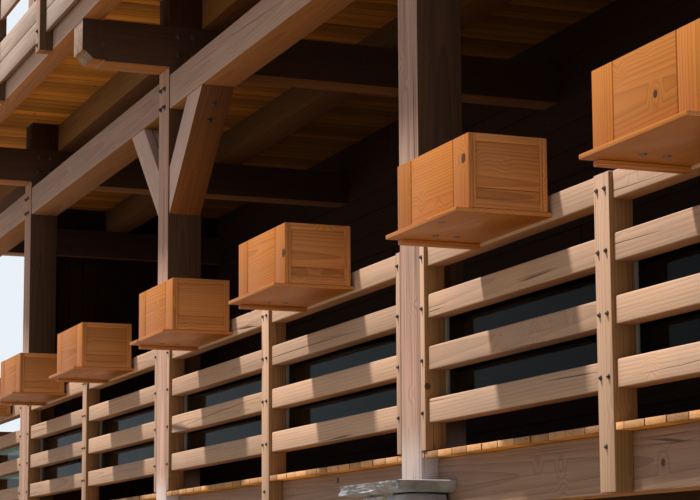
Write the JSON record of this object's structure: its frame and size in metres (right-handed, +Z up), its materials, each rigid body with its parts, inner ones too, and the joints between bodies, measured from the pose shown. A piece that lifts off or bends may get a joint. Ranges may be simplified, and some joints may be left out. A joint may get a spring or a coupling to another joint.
{
  "type": "alpine chalet timber gallery",
  "caption": "Covered timber gallery of an alpine chalet with an upper balcony, on stone piers, with railings, glass wind screens, planter boxes, carved beam heads and the house wall behind.",
  "frame": {"origin": "on the ground, under the middle of the central post's front face", "axes": "+X along the gallery, +Y from the front towards the house, +Z up"},
  "size_m": [17.02, 4.11, 8.93],
  "materials": {
    "rubble_stone": "rough split stone in lime mortar",
    "weathered_timber": "sawn spruce, faded grey-brown by the sun",
    "frame_timber": "sawn spruce, dark and sheltered",
    "wall_timber": "squared logs, sun-darkened",
    "deck_boards": "oiled larch boards",
    "varnished_pine": "clear varnish over knotty pine",
    "screen_glass": "clear float glass",
    "batten_metal": "satin grey"
  },
  "bodies": {
    "root": {"stone_piers": "rubble_stone", "pier_caps": "rubble_stone", "base_wall": "rubble_stone", "deck_cross_beams": "frame_timber", "edge_beams": "weathered_timber", "deck_middle_beams": "frame_timber", "lower_deck": "deck_boards", "main_posts": "weathered_timber", "post_strips": "weathered_timber", "rail_posts": "weathered_timber", "top_rails": "weathered_timber", "second_rails": "weathered_timber", "third_rails": "weathered_timber", "bottom_rails": "weathered_timber", "glass_screens": "screen_glass", "screen_battens": "batten_metal", "box_bearers": "varnished_pine", "box_shelves": "varnished_pine", "planter_boxes": "varnished_pine", "main_beams": "weathered_timber", "knee_braces": "weathered_timber", "cross_beams": "frame_timber", "rim_beam": "weathered_timber", "front_floor_beam": "frame_timber", "middle_floor_beam": "frame_timber", "upper_deck": "deck_boards", "lower_house_wall": "wall_timber", "end_wall_posts": "frame_timber", "end_walls": "wall_timber", "upper_posts": "weathered_timber", "upper_rail_posts": "weathered_timber", "fascia_boards": "weathered_timber", "upper_middle_boards": "weathered_timber", "upper_top_boards": "weathered_timber", "upper_beams": "weathered_timber", "upper_braces": "weathered_timber", "tie_beams": "frame_timber", "upper_house_wall": "wall_timber"}
  },
  "joints": []
}
